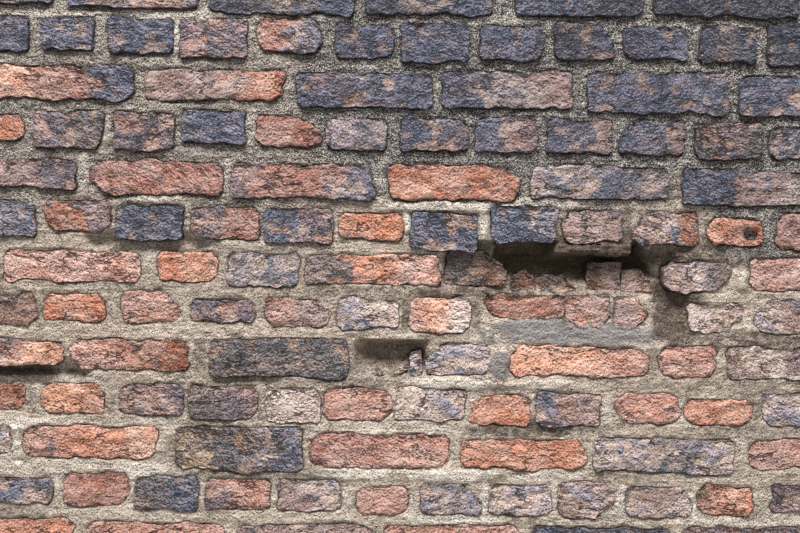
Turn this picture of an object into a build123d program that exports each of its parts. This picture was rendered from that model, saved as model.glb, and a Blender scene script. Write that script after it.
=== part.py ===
"""A length of old city wall in solid brickwork, three bricks thick.

The bond is English cross bond: courses of headers and courses of stretchers lie in turn on
thick beds of mortar, and every other course of stretchers is moved along by half a brick.
The front has weathered.  A hollow has been eaten out of it below one header course, one
brick has lost its face, and near the left end a bed is worn back under the course above it.

Millimetres.  X runs along the wall, Y from the front face to the back face, Z is up.  The
origin is at ground level, at the middle of the wall's length and thickness.
"""

import os

from build123d import *

# One brick, and the mortar joint between bricks
brick_length = 228
brick_width = 105
brick_height = 57
joint = 18

# How much wall there is: bays of one stretcher each, courses, and rows of headers through it
bays = 6
courses = 15
rows_through = 3

# How far the mortar has weathered back from the brick faces, and down from the wall's top
joint_recess = 12
top_recess = 6

# The shortest cut brick that may close a course at an end of the wall
shortest_bat = 36

# How far each course has drifted along the front: at its left end and at its right end
front_drift = {
    1: (30, -5), 2: (30, 10), 3: (58, -12), 4: (50, 10), 5: (24, -28),
    6: (-4, -18), 7: (26, -34), 8: (16, 8), 9: (22, 0), 10: (28, 20),
    11: (4, -20), 12: (0, -12), 13: (8, -21), 14: (-12, -28), 15: (10, -15),
}

# Joints on the front where a brick was cut to make up a course
cut_joints = {6: [533], 8: [-297]}

# The hollow: its mouth on the front, and its deepest part right under a header course
hollow_roof_course = 9
hollow_depth = 75
hollow_x = 283
hollow_mouth_width = 433
hollow_mouth_height = 168
hollow_back_width = 270
hollow_back_height = 75

# The brick whose face has gone, in a stretcher course left of the hollow
pocket_course = 6
pocket_x = -12
pocket_width = 115
pocket_depth = 42

# The undercut: a bed worn back near the left end, below stretchers that stand proud
undercut_roof_course = 6
undercut_depth = 26
undercut_length = 440
undercut_step = 14
undercut_height = 32

bay = brick_length + joint
header_pitch = brick_width + joint
gauge = brick_height + joint
wall_length = bays * bay - joint
wall_thickness = rows_through * bay - joint
wall_height = courses * gauge
front = -wall_thickness / 2
right_end = wall_length / 2


def underside(course):
    """Height of the underside of a course's bricks."""
    return (course - 1) * gauge + joint


def is_header(course):
    """Odd courses are headers, even ones are stretchers."""
    return course % 2 == 1


def joints_along(course, drift_left=0, drift_right=0, extra=()):
    """Centres of a course's upright joints along one face of the wall."""
    if is_header(course):
        pitch, start = header_pitch, 0
    else:
        pitch, start = bay, header_pitch / (2 if course % 4 == 0 else -2)
    centres = list(extra)
    for step in range(-2 * bays, 2 * bays + 1):
        plain = start + pitch * step
        along = plain / wall_length + 0.5
        centre = plain + drift_left * (1 - along) + drift_right * along
        if abs(centre) <= right_end - shortest_bat - joint / 2:
            centres.append(centre)
    # An end piece longer than a whole brick is closed with a short bat at the very end
    last = right_end - shortest_bat - joint / 2
    if max(centres) < right_end - brick_length - joint:
        centres.append(last)
    if min(centres) > -right_end + brick_length + joint:
        centres.append(-last)
    return centres


def joints_through(course):
    """Centres of a course's upright joints across the wall, as its ends show them."""
    rows = rows_through if is_header(course) else rows_through + 1
    return [(row - rows / 2) * bay for row in range(1, rows)]


# The hollow, as the solid that has gone: it narrows from its mouth to its back
with BuildPart() as hollow:
    roof = underside(hollow_roof_course)
    with BuildSketch(Plane.XZ.offset(-front)):
        with Locations((hollow_x, roof)):
            Rectangle(hollow_mouth_width, hollow_mouth_height, align=(Align.CENTER, Align.MAX))
    with BuildSketch(Plane.XZ.offset(-front - hollow_depth)):
        with Locations((hollow_x, roof)):
            Rectangle(hollow_back_width, hollow_back_height, align=(Align.CENTER, Align.MAX))
    loft()

# The lost face of one brick: a pocket with ragged mortar round it
with BuildPart() as pocket:
    with BuildSketch(Plane.XZ.offset(-front)):
        with Locations((pocket_x, underside(pocket_course) + brick_height / 2)):
            Rectangle(pocket_width, brick_height)
    extrude(amount=-pocket_depth)

# The undercut, as the wedge that has gone: deepest right under the bricks that overhang it
with BuildPart() as undercut:
    with BuildSketch(Plane.YZ.offset(-right_end)):
        with BuildLine():
            shelf = underside(undercut_roof_course)
            Polyline(
                (front, shelf),
                (front + undercut_depth, shelf),
                (front + undercut_depth, shelf - undercut_step),
                (front, shelf - undercut_height),
                close=True,
            )
        make_face()
    extrude(amount=undercut_length)


def weather(low, high):
    """Takes what has weathered away out of the piece being built, between two heights."""
    for gone in (hollow, pocket, undercut):
        reach = gone.part.bounding_box()
        if reach.min.Z < high and reach.max.Z > low:
            add(gone.part, mode=Mode.SUBTRACT)


os.makedirs("parts", exist_ok=True)

# Beds: each slab of mortar is weathered back from every face of the wall
for course in range(1, courses + 1):
    top = underside(course)
    with BuildPart() as bed:
        with Locations((0, 0, top - joint)):
            Box(
                wall_length - 2 * joint_recess,
                wall_thickness - 2 * joint_recess,
                joint,
                align=(Align.CENTER, Align.CENTER, Align.MIN),
            )
        weather(top - joint, top)
    bed.part.label = f"mortar_bed_{course:02d}"
    export_step(bed.part, f"parts/{bed.part.label}.step")

# Courses: each is a slab of brickwork with its upright joints raked out on every face
for course in range(1, courses + 1):
    left, right = front_drift.get(course, (0, 0))
    on_front = joints_along(course, left, right, cut_joints.get(course, []))
    on_back = joints_along(course)
    on_ends = joints_through(course)
    low = underside(course)
    with BuildPart() as brickwork:
        with Locations((0, 0, low)):
            Box(
                wall_length,
                wall_thickness,
                brick_height,
                align=(Align.CENTER, Align.CENTER, Align.MIN),
            )
        middle = low + brick_height / 2
        with Locations(*[(x, front, middle) for x in on_front]):
            Box(joint, 2 * joint_recess, brick_height, mode=Mode.SUBTRACT)
        with Locations(*[(x, -front, middle) for x in on_back]):
            Box(joint, 2 * joint_recess, brick_height, mode=Mode.SUBTRACT)
        with Locations(*[(end, y, middle) for end in (-right_end, right_end) for y in on_ends]):
            Box(2 * joint_recess, joint, brick_height, mode=Mode.SUBTRACT)
        # On top of the last course the joints between its bricks show as well
        if course == courses:
            with Locations(*[(x, 0, wall_height) for x in on_back]):
                Box(joint, wall_thickness, 2 * top_recess, mode=Mode.SUBTRACT)
            with Locations(*[(0, y, wall_height) for y in on_ends]):
                Box(wall_length, joint, 2 * top_recess, mode=Mode.SUBTRACT)
        weather(low, low + brick_height)
    kind = "header" if is_header(course) else "stretcher"
    brickwork.part.label = f"{kind}_course_{course:02d}"
    export_step(brickwork.part, f"parts/{brickwork.part.label}.step")
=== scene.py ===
# %% [markdown]
# # A length of old city wall
#
# The real wall is solid brick, laid in English cross bond on thick beds of lime mortar.  Its
# front has stood in the weather for centuries.  The dark burnt skin of the bricks has flaked
# off many of them and shows the orange clay below, the mortar has washed back from the faces,
# and in one place three courses have been eaten away into a hollow.
#
# The construction is already packed as a frame: one solid for each course of bricks and one for
# each bed of mortar.  Here each of them gets its real surface, brick by brick.

# %% Load the frame
import math
import random

import bmesh
import bpy
from mathutils import Matrix, Vector, noise


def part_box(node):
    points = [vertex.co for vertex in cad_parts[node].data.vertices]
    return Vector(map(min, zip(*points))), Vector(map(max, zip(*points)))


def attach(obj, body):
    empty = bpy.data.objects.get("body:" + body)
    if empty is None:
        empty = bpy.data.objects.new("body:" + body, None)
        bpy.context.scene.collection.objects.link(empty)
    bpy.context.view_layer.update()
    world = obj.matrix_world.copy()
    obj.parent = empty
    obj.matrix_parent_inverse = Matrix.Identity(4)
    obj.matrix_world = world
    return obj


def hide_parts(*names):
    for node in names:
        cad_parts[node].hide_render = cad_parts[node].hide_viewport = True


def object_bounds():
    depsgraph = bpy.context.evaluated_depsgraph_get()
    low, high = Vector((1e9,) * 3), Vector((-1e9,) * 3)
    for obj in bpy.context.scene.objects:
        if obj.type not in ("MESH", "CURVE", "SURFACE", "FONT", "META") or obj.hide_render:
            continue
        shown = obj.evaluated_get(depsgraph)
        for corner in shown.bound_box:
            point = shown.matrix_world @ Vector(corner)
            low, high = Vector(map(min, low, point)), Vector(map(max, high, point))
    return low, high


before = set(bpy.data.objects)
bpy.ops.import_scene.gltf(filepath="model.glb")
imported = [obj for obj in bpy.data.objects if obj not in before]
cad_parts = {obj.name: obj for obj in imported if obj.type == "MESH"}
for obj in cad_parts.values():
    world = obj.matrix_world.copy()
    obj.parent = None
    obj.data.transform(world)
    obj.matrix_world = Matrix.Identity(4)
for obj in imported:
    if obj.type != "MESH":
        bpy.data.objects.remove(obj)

mm = 0.001
cad_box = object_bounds()
wall_low, wall_high = Vector(cad_box[0]), Vector(cad_box[1])
print("wall", [round(side, 3) for side in wall_high - wall_low], "nodes", len(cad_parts))

# %% [markdown]
# The sizes that everything hangs on are read from the frame, so that a brick always lands in
# its own course.  A course's solid gives the height of a brick, and the bed below it gives the
# thickness of the mortar.  Names such as `header_course_07` say which way the bricks lie.

# %% Courses and beds
COURSES = 15
joint = 18 * mm
header = 105 * mm
stretcher = 228 * mm
brick_height = 57 * mm
shortest_bat = 36 * mm


def course_node(course):
    """The name of a course's node: odd courses are headers, even ones are stretchers."""
    kind = "header" if course % 2 == 1 else "stretcher"
    return f"{kind}_course_{course:02d}"


def bed_node(course):
    """The name of the mortar bed under a course."""
    return f"mortar_bed_{course:02d}"


def span(node):
    """The lowest and highest Z of a node."""
    low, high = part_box(node)
    return low[2], high[2]


print("course 7 runs from", [round(z, 4) for z in span(course_node(7))])

# %% [markdown]
# ## What each brick looks like
#
# Most of what the eye takes for the colour of an old wall is how much of the burnt skin is left.
# So a finish here is two colours and a share: the clay inside, the skin outside, and how much
# skin still covers it.  `arris` is how far the edges have rounded, in millimetres, and `rough` is
# how deep the broken surface goes.

# %% Finishes of the bricks
def linear(red, green, blue):
    """A colour as it is seen on a screen, 0 to 255, as the linear values that Blender uses."""
    return tuple((channel / 255) ** 2.2 for channel in (red, green, blue))


# Clay, skin, cover, arris, rough
FINISH_TABLE = {
    "coal": ((102, 90, 86), (69, 72, 88), 0.8, 5, 1.0),
    "slate": ((132, 116, 112), (100, 103, 121), 0.76, 5, 1.0),
    "ash": ((174, 156, 149), (121, 121, 134), 0.6, 6, 1.1),
    "plum": ((158, 127, 119), (133, 117, 121), 0.58, 6, 1.0),
    "brown": ((136, 117, 105), (117, 107, 104), 0.7, 7, 1.1),
    "umber": ((110, 76, 60), (82, 68, 61), 0.3, 5, 1.2),
    "grey": ((170, 158, 155), (136, 131, 135), 0.5, 7, 1.0),
    "dusty": ((198, 181, 173), (176, 167, 172), 0.5, 7, 1.1),
    "tan": ((154, 136, 114), (122, 110, 100), 0.45, 8, 1.1),
    "rust": ((150, 96, 74), (112, 92, 88), 0.26, 10, 1.3),
    "orange": ((202, 140, 114), (150, 120, 112), 0.04, 11, 1.3),
    "peach": ((228, 173, 149), (176, 146, 136), 0.02, 10, 1.2),
    "salmon": ((193, 149, 137), (154, 132, 128), 0.05, 11, 1.3),
    "red": ((168, 120, 108), (130, 110, 110), 0.06, 11, 1.3),
    "pink": ((161, 138, 134), (138, 126, 129), 0.25, 9, 1.1),
    "cream": ((215, 200, 193), (200, 184, 172), 0.1, 5, 0.8),
}
FINISHES = {
    name: dict(clay=linear(*clay), skin=linear(*skin), cover=cover, arris=arris, rough=rough)
    for name, (clay, skin, cover, arris, rough) in FINISH_TABLE.items()
}
print(len(FINISHES), "finishes")

# %% [markdown]
# ## The bricks of the front, from left to right
#
# A wall like this was laid by eye, and no two bricks are alike.  The front is therefore set out
# brick by brick, in millimetres: where the brick begins and ends along the wall, how far its
# underside and its top lie above the line of the course, and its finish.  Two or three finishes
# share the brick from left to right.
#
# After that come how far the face is set back, and letters for its damage.  `a` to `d` are the
# corners that are knocked off: top left, top right, bottom right and bottom left.  `s` is a piece
# that broke off not long ago and is still sharp, `t` one whose top is coloured darker, and `o` a
# brick with a round hole near its right end, painted dark inside as shade.

# %% The front, course by course
FRONT = {
    15: [
        (-729, -614, 0, 0, "brown slate"),
        (-596, -491, 0, 0, "slate"),
        (-473, -369, 0, 0, "plum"),
        (-351, -247, 0, 0, "slate"),
        (-228, -126, 0, 0, "slate brown"),
        (-107, -4, 0, 0, "slate"),
        (14, 117, 0, 0, "plum slate"),
        (135, 238, 0, 0, "slate"),
        (256, 359, 0, 0, "slate plum"),
        (377, 480, 0, 0, "slate"),
        (498, 600, 0, 0, "brown"),
        (617, 729, 0, 0, "slate"),
    ],
    14: [
        (-729, -579, 7, -4, "brown slate"),
        (-553, -336, 4, -4, "slate plum"),
        (-320, -79, -3, -3, "coal brown slate"),
        (-62, 148, -2, -3, "coal slate"),
        (180, 394, 0, -1, "slate slate coal"),
        (410, 648, 2, 0, "coal"),
        (665, 729, 2, 1, "coal"),
    ],
    13: [
        (-729, -615, 3, 4, "slate"),
        (-597, -507, 8, 2, "slate"),
        (-489, -377, 3, 3, "slate"),
        (-367, -257, -4, 2, "plum"),
        (-244, -134, 8, 5, "red ash"),
        (-113, -15, 0, -3, "slate"),
        (-3, 107, -4, 2, "slate"),
        (126, 231, 1, -1, "slate"),
        (249, 348, 3, 5, "coal brown slate", 0, "b"),
        (364, 469, 5, 0, "coal slate"),
        (487, 582, 0, 2, "coal brown coal"),
        (600, 729, -5, 6, "coal"),
    ],
    12: [
        (-729, -690, -1, 0, "orange"),
        (-676, -441, -2, -2, "peach red slate"),
        (-423, -194, 3, -4, "pink pink orange"),
        (-175, 51, -7, -7, "slate plum ash slate"),
        (66, 282, -4, -2, "slate grey pink"),
        (305, 536, -9, 0, "slate slate ash"),
        (553, 729, -11, -8, "slate ash slate"),
    ],
    11: [
        (-729, -623, 6, -7, "orange"),
        (-607, -492, -4, -1, "plum brown"),
        (-476, -374, -6, -2, "plum"),
        (-362, -257, 6, 3, "slate"),
        (-244, -131, 4, -2, "red", 0, "b"),
        (-125, -21, -1, -7, "dusty grey"),
        (-3, 107, -1, -4, "slate ash plum"),
        (121, 223, 1, -1, "ash plum"),
        (239, 346, -3, -5, "slate ash pink"),
        (361, 464, -3, -4, "slate ash pink", 0, "a"),
        (482, 592, -9, -5, "brown plum brown"),
        (605, 729, -6, -12, "grey slate"),
    ],
    10: [
        (-729, -536, 3, -5, "plum pink plum"),
        (-512, -292, -6, -6, "red", 0, "d"),
        (-280, -48, -8, -7, "plum red red ash"),
        (-23, 198, -7, -4, "orange", 0, "b"),
        (213, 440, -2, -5, "dusty dusty ash grey"),
        (462, 676, -9, -9, "slate slate pink dusty"),
        (692, 729, -7, -7, "slate"),
    ],
    9: [
        (-729, -604, 0, -2, "ash"),
        (-587, -476, 8, 2, "rust rust plum"),
        (-469, -359, -5, -4, "slate"),
        (-344, -230, 0, -6, "plum red"),
        (-226, -112, -6, -6, "slate plum"),
        (-103, 5, 0, -11, "orange"),
        (18, 128, -14, -9, "slate slate pink slate"),
        (148, 257, 0, 2, "slate slate ash"),
        (266, 369, 0, -2, "pink"),
        (380, 492, 0, -4, "plum pink ash rust", 0, "a"),
        (507, 599, -1, -12, "orange", 0, "o"),
        (617, 729, -7, -3, "red plum"),
    ],
    8: [
        (-729, -669, 0, -2, "orange", 4),
        (-653, -426, 1, -6, "salmon", 4),
        (-402, -300, 2, -4, "orange", 4),
        (-285, -167, -4, -4, "grey", 5),
        (-157, 66, 2, -3, "brown orange salmon", 4),
        (74, 176, 0, 4, "brown umber", 18, "bt"),
        (184, 228, -6, -24, "umber rust", 27, "abst"),
        (222, 292, -6, -35, "umber brown rust", 26, "bst"),
        (311, 367, -6, -11, "umber pink", 26, "st"),
        (368, 418, -6, -22, "pink umber", 25, "bst"),
        (436, 546, -2, -9, "pink dusty brown", 3, "c"),
        (577, 729, 1, -2, "salmon salmon dusty", 3),
    ],
    7: [
        (-729, -597, 3, -1, "red umber", 4),
        (-589, -484, 8, 0, "orange", 4),
        (-462, -361, 9, 5, "salmon", 4, "b"),
        (-344, -238, 13, -7, "plum", 4),
        (-226, -112, 5, -2, "red pink", 4, "b"),
        (-105, 0, 4, -3, "dusty dusty cream", 5),
        (15, 116, 0, 2, "salmon peach cream", 4),
        (139, 272, 24, 6, "rust rust red", 13, "ds"),
        (275, 351, 9, 8, "salmon pink", 12, "cds"),
        (353, 415, 12, 4, "pink salmon", 13, "bcs"),
        (476, 569, 6, -5, "cream cream dusty", 5, "c"),
        (585, 729, 7, 4, "dusty pink dusty", 5, "a"),
    ],
    6: [
        (-729, -554, 11, -3, "pink peach", 3),
        (-544, -344, 5, -1, "salmon rust", 3, "d"),
        (-312, -82, -3, 3, "brown", 5),
        (-54, -15, 3, -35, "pink dusty", 13, "ab"),
        (-13, 15, 1, -30, "dusty pink", 15, "a"),
        (18, 41, 3, -13, "dusty pink", 12, "s"),
        (43, 148, 6, 0, "dusty", 4, "a"),
        (182, 413, 6, -2, "peach peach peach salmon", 3),
        (426, 525, 7, 2, "salmon", 4),
        (541, 729, 5, 0, "pink cream plum red", 4),
    ],
    5: [
        (-729, -615, 12, 3, "red rust", 5),
        (-590, -484, 5, -1, "peach orange", 5),
        (-459, -354, 6, 1, "pink plum", 4),
        (-344, -233, 2, 1, "brown plum", 4),
        (-218, -131, -1, -3, "cream", 5),
        (-123, -11, 5, -3, "salmon", 4),
        (-5, 112, 4, 2, "cream dusty", 4),
        (115, 221, -3, -9, "orange", 4, "a"),
        (226, 336, -1, -4, "ash plum pink", 3),
        (356, 464, 4, -1, "salmon", 4, "d"),
        (472, 584, 2, -11, "orange", 4),
        (602, 729, 3, -3, "dusty", 4),
    ],
    4: [
        (-729, -636, 15, 7, "dusty", 4),
        (-618, -397, 9, 6, "salmon orange peach", 4),
        (-367, -157, -8, 8, "tan brown brown ash", 3),
        (-143, 85, -1, -2, "red salmon", 4),
        (102, 313, 2, -7, "orange", 4),
        (325, 554, -3, -2, "dusty grey dusty", 3),
        (582, 729, 8, 0, "salmon", 4),
    ],
    3: [
        (-729, -689, 6, -5, "slate", 4),
        (-674, -566, 9, -7, "ash", 4),
        (-554, -443, 5, 4, "red", 4),
        (-431, -325, 2, -1, "brown slate", 3),
        (-317, -208, 4, -3, "plum salmon salmon", 4),
        (-198, -90, 2, -3, "pink dusty", 4),
        (-69, 18, -1, -12, "salmon", 4),
        (38, 139, 2, -6, "dusty grey dusty", 3, "b"),
        (153, 257, 0, -6, "dusty", 3),
        (267, 362, -3, 0, "pink dusty pink", 4, "bc"),
        (380, 487, -2, -9, "dusty pink dusty", 4, "b"),
        (495, 590, 6, -3, "rust orange orange", 4),
        (617, 729, 10, -3, "plum dusty", 4),
    ],
    2: [
        (-729, -531, 0, 2, "orange", 4),
        (-508, -282, 0, -1, "salmon", 4),
        (-262, -39, 0, -1, "pink", 4),
        (-20, 207, 0, -1, "salmon", 4),
        (226, 453, 0, 0, "slate", 3),
        (472, 695, 0, 2, "plum", 4),
        (711, 729, 2, 2, "slate", 4),
    ],
    1: [
        (-729, -602, 0, 0, "plum", 4),
        (-582, -482, 0, 0, "red", 4),
        (-462, -362, 0, 0, "slate", 4),
        (-342, -241, 0, 0, "orange", 4),
        (-221, -122, 0, 0, "plum", 4),
        (-101, 2, 0, 0, "slate pink", 4),
        (22, 123, 0, 0, "brown", 4),
        (141, 244, 0, 0, "salmon", 4),
        (262, 365, 0, 0, "slate", 4),
        (383, 485, 0, 0, "orange", 4),
        (503, 606, 0, 0, "plum", 4),
        (624, 729, 0, 0, "slate", 4),
    ],
}
print(sum(len(row) for row in FRONT.values()), "bricks set out on the front")

# %% [markdown]
# ## Worn places
#
# The hollow, the lost brick face and the undercut beds are deeper than any brick's own wear.  Each
# is written as levels from its bottom up, in millimetres: the height, the middle and half the
# width along the wall, and how deep it is there.  A hollow under an overhang is deepest at its top
# and runs out slowly below, where the rain washed it.  One lip of hard mortar still hangs in the
# hollow's mouth.  The mortar follows one function of all of them, so neighbouring beds agree about
# the shape.

# %% Places that have worn back
WORN = {
    "hollow": [
        (450, 300, 186, 0),
        (470, 302, 182, 3),
        (500, 308, 178, 7),
        (528, 306, 170, 10),
        (540, 304, 166, 17),
        (554, 298, 156, 23),
        (568, 290, 142, 38),
        (582, 284, 132, 58),
        (600, 280, 126, 76),
        (619, 276, 118, 66),
    ],
    "left side of the hollow": [
        (534, 120, 50, 4),
        (550, 122, 56, 16),
        (596, 132, 58, 24),
        (619, 146, 56, 30),
    ],
    "lost brick": [
        (390, -11, 58, 0),
        (398, -11, 57, 8),
        (408, -11, 56, 20),
        (430, -11, 55, 34),
        (447, -10, 54, 38),
        (452, -10, 52, 30),
        (456, -8, 50, 0),
    ],
    "under course 6": [
        (370, -640, 100, 0),
        (386, -636, 116, 9),
        (398, -634, 122, 21),
        (410, -630, 116, 15),
        (420, -630, 110, 0),
    ],
    "under course 9": [
        (586, -416, 80, 0),
        (608, -414, 96, 12),
        (620, -414, 96, 16),
        (632, -414, 90, 0),
    ],
    "under the brown brick": [
        (366, -248, 50, 0),
        (386, -250, 58, 8),
        (396, -250, 56, 10),
        (404, -250, 50, 0),
    ],
    "right of the hollow": [
        (458, 444, 20, 0),
        (486, 450, 24, 16),
        (530, 446, 26, 24),
        (570, 438, 24, 26),
        (604, 430, 20, 16),
        (619, 430, 20, 0),
    ],
}
# Hard mortar that still hangs in the hollow: middle, half width, bottom and top
LIPS = [(319, 68, 595, 626)]
side_softness = 24 * mm
lip_softness = 7 * mm


def level_at(place, z):
    """A worn place's middle, half width and depth at one height, in millimetres."""
    for lower, upper in zip(place, place[1:]):
        if lower[0] <= z < upper[0]:
            share = (z - lower[0]) / (upper[0] - lower[0])
            return [one + (two - one) * share for one, two in zip(lower[1:], upper[1:])]
    return None


def lip_at(x, z):
    """1 where a lip of hard mortar hangs in a worn place, 0 elsewhere, with a ragged edge."""
    broad = noise.noise(Vector((x / 0.03, 2.2, z / 0.03)))
    small = noise.noise(Vector((x / 0.009, 8.2, z / 0.02)))
    ragged = 4 * mm * broad + 4 * mm * small
    share = 0.0
    for middle, half_width, bottom, top in LIPS:
        from_side = half_width * mm - abs(x - middle * mm)
        inside = min(from_side, z - bottom * mm, top * mm - z) + ragged
        share = max(share, min(max(inside / lip_softness, 0), 1))
    return share


def wear(x, z):
    """How far the wall has worn back at a place on its front, in metres."""
    ragged = 7 * mm * noise.noise(Vector((x / 0.024, 7.1, z / 0.024)))
    deepest = 0.0
    for place in WORN.values():
        level = level_at(place, (z + 0.35 * ragged) / mm)
        if level:
            middle, half_width, depth = (value * mm for value in level)
            from_side = half_width - abs(x - middle) + ragged
            across = min(max(from_side / side_softness + 0.5, 0), 1)
            deepest = max(deepest, depth * across * across * (3 - 2 * across))
    return deepest * (1 - lip_at(x, z))


print("the hollow is", round(wear(0.25, 0.6) / mm), "mm deep")

# %% [markdown]
# ## How a brick face breaks up
#
# Clay that was pressed into a mould breaks in rough layers that lie flat, with pits where stones
# and straw burnt out.  Blender's `noise` gives a smooth random value for any point in space.
# Reading it from the point's real place, stretched along the layers, makes marks that have a true
# size and run on from one vertex to the next.

# %% Noise at a real size
def bumps(place, size, lift=0.0):
    """Smooth noise from -1 to 1 whose marks are about `size` metres across."""
    return noise.noise(place / size + Vector((lift, lift * 1.7, lift * 0.6)))


def layers(place, length, thickness, lift=0.0):
    """Noise stretched into flat layers, as in pressed clay."""
    stretched = Vector((place.x / length, place.y / length, place.z / thickness + lift))
    return noise.noise(stretched)


def ease(value, low, high):
    """Goes smoothly from 0 to 1 while value goes from low to high."""
    share = min(max((value - low) / (high - low), 0), 1)
    return share * share * (3 - 2 * share)


def ledges(value, steps):
    """Turns a smooth value into steps with short slopes between them, as broken clay shows."""
    whole = math.floor(value * steps)
    return (whole + ease(value * steps - whole, 0.25, 0.75)) / steps


print("noise at the origin of course 7:", round(bumps(Vector((0, 0, 0.46)), 0.03), 3))

# %% [markdown]
# A brick could be a cube with a displace modifier, but then its edges would stay ruler-straight
# and every brick would wear alike.  Instead its face starts as a fine grid, `bmesh` extrudes the
# rim back in rings, and each vertex is moved by rules that a bricklayer would recognise: arrises
# round off, skin flakes in patches, corners break, and the whole brick sits a little askew.

# %% The blank of a brick
def new_rim(made):
    """The vertices and the outer edges that an extrusion has just made."""
    verts = [item for item in made["geom"] if isinstance(item, bmesh.types.BMVert)]
    fresh = set(verts)
    edges = [item for item in made["geom"] if isinstance(item, bmesh.types.BMEdge)]
    return verts, [edge for edge in edges if edge.verts[0] in fresh and edge.verts[1] in fresh]


def brick_blank(bm, width, height, grain, rings):
    """A closed brick with a fine grid on its face, which looks to -Y, and rings behind it."""
    across = max(2, round(width / grain))
    up = max(2, round(height / grain))
    lay = Matrix.Rotation(math.radians(90), 4, "X") @ Matrix.Diagonal((width, height, 1, 1))
    face = bmesh.ops.create_grid(bm, x_segments=across, y_segments=up, size=0.5, matrix=lay)
    verts = list(face["verts"])
    rim = [edge for vert in verts for edge in vert.link_edges if edge.is_boundary]
    rim = list(dict.fromkeys(rim))
    for depth in rings:
        made = bmesh.ops.extrude_edge_only(bm, edges=rim)
        ring, rim = new_rim(made)
        for vert in ring:
            vert.co.y = depth
        verts += ring
    bmesh.ops.contextual_create(bm, geom=rim)
    return verts


trial = bmesh.new()
trial_verts = brick_blank(trial, stretcher, brick_height, 3.4 * mm, [2 * mm, 6 * mm, 60 * mm])
print("a blank stretcher has", len(trial_verts), "vertices and", len(trial.faces), "faces")
trial.free()

# %% [markdown]
# The wear itself.  `place` is where a vertex lies on the sharp new brick.  An inner box, smaller by
# the radius of the worn arris, gives the nearest point inside, and the direction from there to the
# vertex is the way the surface faces.  Rounding and pitting are then one step along that line.
# What the wear found is stored with the vertex, as colours and numbers that the material reads:
# the clay's colour, the skin's colour, how much skin is left, how low the spot lies, how near it is
# to the rim, and whether it lies on a side behind the face or in a hole, which get painted shade,
# or on a darker top.

# %% A brick's finish, its edges and its corners
def share_of_finishes(looks, along):
    """Mixes a brick's finishes from left to right; along runs from 0 to 1."""
    names = looks.split()
    position = min(max(along * len(names) - 0.5, 0), len(names) - 1)
    first = int(position)
    second = min(first + 1, len(names) - 1)
    blend = ease(position - first, 0.1, 0.9)
    one, two = FINISHES[names[first]], FINISHES[names[second]]
    mixed = {}
    for key in one:
        if isinstance(one[key], tuple):
            mixed[key] = tuple(a + (b - a) * blend for a, b in zip(one[key], two[key]))
        else:
            mixed[key] = one[key] + (two[key] - one[key]) * blend
    return mixed


def edge_line(chance):
    """How one edge of a brick wanders: a function of the distance along it, in metres."""
    shift = chance.uniform(-1.0, 1.0)
    lean = chance.uniform(-2.0, 2.0)
    lift = chance.uniform(0, 90)

    def wander(along, share):
        slow = 5.4 * noise.noise(Vector((along / 0.045, lift, 0)))
        quick = 3.6 * noise.noise(Vector((along / 0.015, lift, 5)))
        return (shift + lean * (share - 0.5) + slow + quick) * mm

    return wander


def edges_of(seed):
    """The four wandering edges of a brick, the same for the brick and for the mortar round it."""
    chance = random.Random(seed)
    return {side: edge_line(chance) for side in ("left", "right", "bottom", "top")}


def rounding(cut):
    """How far the arrises have rounded: 1 where the brick broke long ago, less where it is new."""
    return 0.3 if "s" in cut else 1.0


def chips_of(looks, cut, seed):
    """How much is missing at each corner of a brick, clockwise from the top left."""
    chance = random.Random(seed + 0.25)
    rounded = rounding(cut)
    arris = FINISHES[looks.split()[0]]["arris"]
    chips = [chance.uniform(0.6, 1.6) * arris * rounded * mm for corner in range(4)]
    for corner, letter in enumerate("abcd"):
        if letter in cut:
            chips[corner] = chance.uniform(24, 34) * (0.7 + 0.3 * rounded) * mm
    return chips


half_way = share_of_finishes("orange slate", 0.5)
print("half way from orange to slate the skin covers", round(half_way["cover"], 2))

# %% What the wear stores on each vertex
STORED_COLOURS = ("clay", "skin")
STORED_NUMBERS = ("cover", "relief", "rim", "deep", "layered", "crevice")


def stored_layers(bm):
    """The colours and numbers that the wear leaves on each vertex."""
    colours = {name: bm.verts.layers.float_color.new(name) for name in STORED_COLOURS}
    return colours | {name: bm.verts.layers.float.new(name) for name in STORED_NUMBERS}


print("a vertex keeps", ", ".join(STORED_COLOURS + STORED_NUMBERS))

# %% Wearing one brick
deepest_wear = 7.5
hole_from_end, hole_below_middle, hole_depth = 20 * mm, 3 * mm, 15 * mm


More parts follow.
